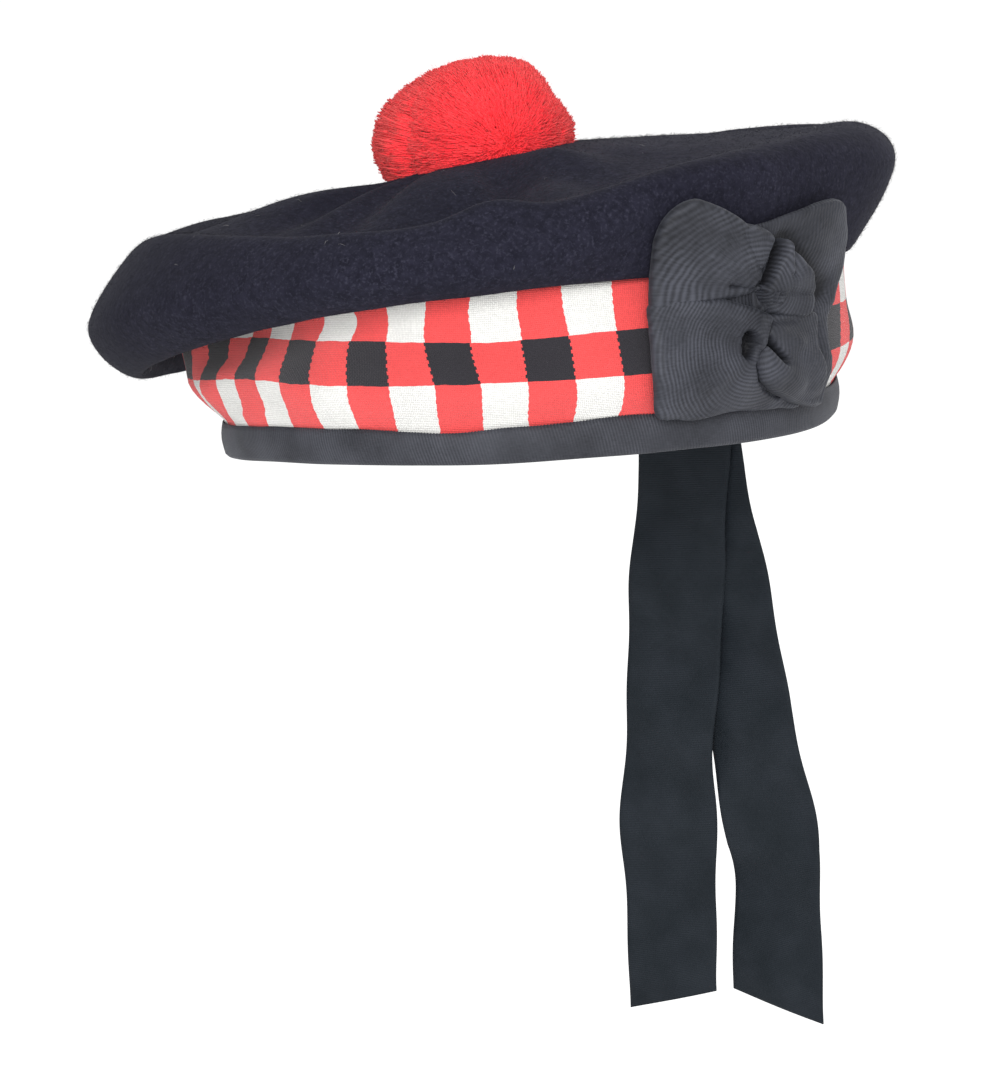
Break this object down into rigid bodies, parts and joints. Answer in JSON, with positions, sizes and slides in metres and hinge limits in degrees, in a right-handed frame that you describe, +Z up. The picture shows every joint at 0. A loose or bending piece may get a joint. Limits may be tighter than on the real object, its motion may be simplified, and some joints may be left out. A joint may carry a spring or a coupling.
{
  "type": "balmoral bonnet",
  "caption": "Balmoral bonnet with a soft black wool crown, diced band, ribbon binding, red yarn toorie, ribbon bow and hanging ribbon tails.",
  "frame": {"origin": "middle of the head opening, level with the lowest edge of the binding", "axes": "+Z up through the crown, -Y towards the front, +X towards the wearer's left"},
  "size_m": [0.2397, 0.2388, 0.3176],
  "materials": {
    "wool_black": "melton wool, brushed, matt",
    "diced_weave": "worsted weave diced in red, white and black, matt",
    "ribbon_black": "ribbed moire ribbon, low sheen",
    "yarn_red": "cut wool yarn, matt"
  },
  "bodies": {
    "root": {"crown": "wool_black", "diced_band": "diced_weave", "rim_binding": "ribbon_black", "toorie": "yarn_red", "bow_backing": "ribbon_black", "bow_upper_loops": "ribbon_black", "bow_lower_loops": "ribbon_black", "bow_knot": "ribbon_black", "tail_left": "ribbon_black", "tail_right": "ribbon_black"}
  },
  "joints": []
}
